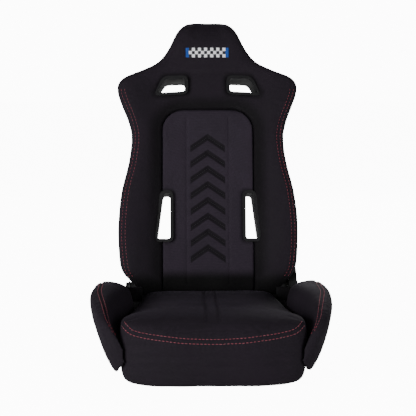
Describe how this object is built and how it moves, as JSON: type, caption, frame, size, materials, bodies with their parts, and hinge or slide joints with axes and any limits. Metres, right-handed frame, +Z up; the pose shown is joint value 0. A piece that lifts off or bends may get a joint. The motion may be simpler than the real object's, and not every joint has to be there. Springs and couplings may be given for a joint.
{
  "type": "reclining sports bucket seat",
  "caption": "Reclining bucket seat with high side wings, harness slots in the backrest, a sprung cushion between thigh bolsters and a side release lever.",
  "frame": {"origin": "centre of the four base bolt holes, on the plane the rails stand on", "axes": "+X to the side with the release lever, which is the sitter's left; +Y to the rear, away from the sitter's knees; +Z up"},
  "size_m": [0.5854, 0.6611, 0.8276],
  "materials": {
    "frame_black": "satin powder coat",
    "bracket_black": "satin paint",
    "zinc_steel": "zinc plated",
    "spring_steel": "oiled",
    "cover_fabric": "woven cloth over foam",
    "insert_fabric": "knitted mesh over foam",
    "felt": "pressed felt",
    "shell_plastic": "grained",
    "trim_plastic": "fine grain",
    "emblem_cloth": "woven patch",
    "bush_nylon": "black nylon"
  },
  "bodies": {
    "base": {"rail_left": "frame_black", "rail_right": "frame_black", "side_plate_left": "frame_black", "side_plate_right": "frame_black", "front_tube": "frame_black", "rear_tube": "frame_black", "weld_nuts": "zinc_steel", "seat_springs": "spring_steel", "spring_clips": "zinc_steel", "felt_pad": "felt", "seat_cushion": "cover_fabric", "bolster_left": "cover_fabric", "bolster_right": "cover_fabric", "side_trim_left": "trim_plastic", "side_trim_right": "trim_plastic", "bracket_left": "bracket_black", "bracket_right": "bracket_black", "bracket_bolts": "zinc_steel", "recliner_guide": "bracket_black", "spring_hub": "zinc_steel", "spiral_spring": "spring_steel", "recliner_cover": "trim_plastic", "cover_screws": "zinc_steel", "pivot_bolt": "zinc_steel", "pivot_bush": "bush_nylon", "pivot_cap": "trim_plastic"},
    "lever": {"release_shaft": "zinc_steel", "release_cam": "zinc_steel", "lever_plate": "bracket_black", "lever_grip": "trim_plastic", "lever_clip": "zinc_steel"},
    "upper_pawl": {"pawl_upper": "zinc_steel"},
    "lower_pawl": {"pawl_lower": "zinc_steel"},
    "backrest": {"backrest_cover": "cover_fabric", "backrest_insert": "insert_fabric", "upright_left": "frame_black", "upright_right": "frame_black", "head_hoop": "frame_black", "lower_tube": "frame_black", "back_apron": "trim_plastic", "back_springs": "spring_steel", "arm_left": "bracket_black", "arm_right": "bracket_black", "arm_bolts": "frame_black", "recliner_ring": "bracket_black", "spring_peg": "zinc_steel", "back_shell": "shell_plastic", "shell_screws": "frame_black", "shoulder_bezel_left": "trim_plastic", "shoulder_bezel_right": "trim_plastic", "waist_bezel_left": "trim_plastic", "waist_bezel_right": "trim_plastic", "rear_bezels": "trim_plastic", "emblem_patch": "emblem_cloth"}
  },
  "joints": [
    {"name": "recline", "type": "hinge", "parent": "base", "child": "backrest", "pos_m": [0, 0.205, 0.14], "axis": [-1, 0, 0], "range_deg": [-40, 60], "deforming": ["spiral_spring"]},
    {"name": "lever_pull", "type": "hinge", "parent": "base", "child": "lever", "pos_m": [0.2, 0.205, 0.14], "axis": [-1, 0, 0], "range_deg": [0, 18], "stiffness_Nm_per_rad": 1.2, "springref_deg": -14.32},
    {"name": "upper_pawl_slide", "type": "slide", "parent": "base", "child": "upper_pawl", "axis": [0, 0, -1], "range_m": [0, 0.0022]},
    {"name": "lower_pawl_slide", "type": "slide", "parent": "base", "child": "lower_pawl", "axis": [0, 0, 1], "range_m": [0, 0.0022]}
  ],
  "couplings": [
    {"joint": "upper_pawl_slide", "follows": "lever_pull", "m_per_rad": 0.007},
    {"joint": "lower_pawl_slide", "follows": "lever_pull", "m_per_rad": 0.007}
  ]
}
